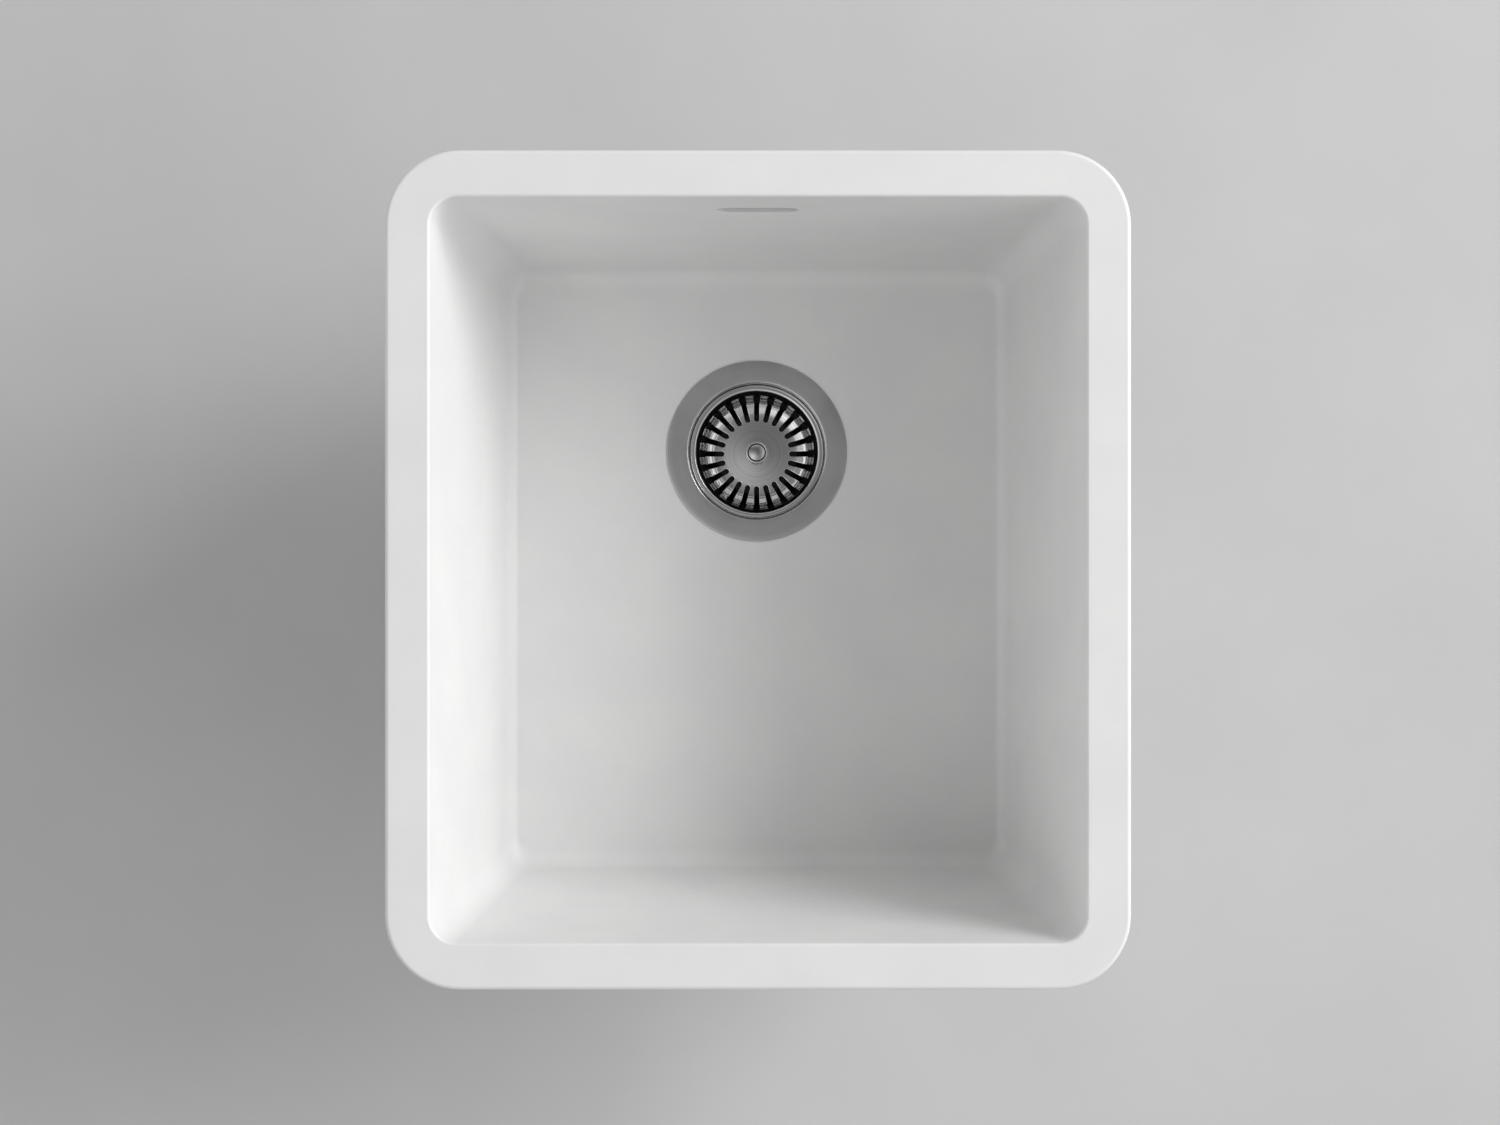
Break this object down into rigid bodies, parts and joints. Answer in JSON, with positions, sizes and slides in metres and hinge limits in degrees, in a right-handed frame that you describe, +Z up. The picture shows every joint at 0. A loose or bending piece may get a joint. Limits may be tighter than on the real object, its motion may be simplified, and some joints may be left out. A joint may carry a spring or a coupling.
{
  "type": "kitchen sink",
  "caption": "Rectangular solid surface kitchen sink bowl with a flat rim, a lift-out slotted basket strainer, a clamped waste body and an overflow piped to it.",
  "frame": {"origin": "middle of the rim's flat top face, in the plane that is bonded under a worktop", "axes": "+Z up out of the bowl, +Y to the rear wall with the overflow slot, +X to the right seen from the front"},
  "size_m": [0.4, 0.45, 0.3166],
  "materials": {
    "solid_surface": "satin",
    "brushed_flange": "satin",
    "bright_steel": "gloss",
    "brass": "satin",
    "black_rubber": "matte",
    "moulded_plastic": "satin"
  },
  "bodies": {
    "sink": {"bowl": "solid_surface", "strainer_cup": "brushed_flange", "flange_gasket": "black_rubber", "body_gasket": "black_rubber", "cup_seal": "black_rubber", "waste_body": "moulded_plastic", "screw_insert": "brass", "clamp_screw": "bright_steel", "catch_spring": "bright_steel", "overflow_box": "moulded_plastic", "overflow_gasket": "black_rubber", "overflow_inserts": "brass", "overflow_screws": "bright_steel", "overflow_pipe": "moulded_plastic", "pipe_oring": "black_rubber", "pipe_nut": "moulded_plastic", "pipe_seal": "black_rubber"},
    "basket": {"basket": "bright_steel", "basket_knob": "bright_steel", "knob_cap": "bright_steel", "basket_stem": "bright_steel", "seal_washer": "bright_steel", "basket_seal": "black_rubber", "stem_clip": "bright_steel"}
  },
  "joints": [
    {"name": "basket_lift", "type": "slide", "parent": "sink", "child": "basket", "axis": [0, 0, 1], "range_m": [0, 0.25]}
  ]
}
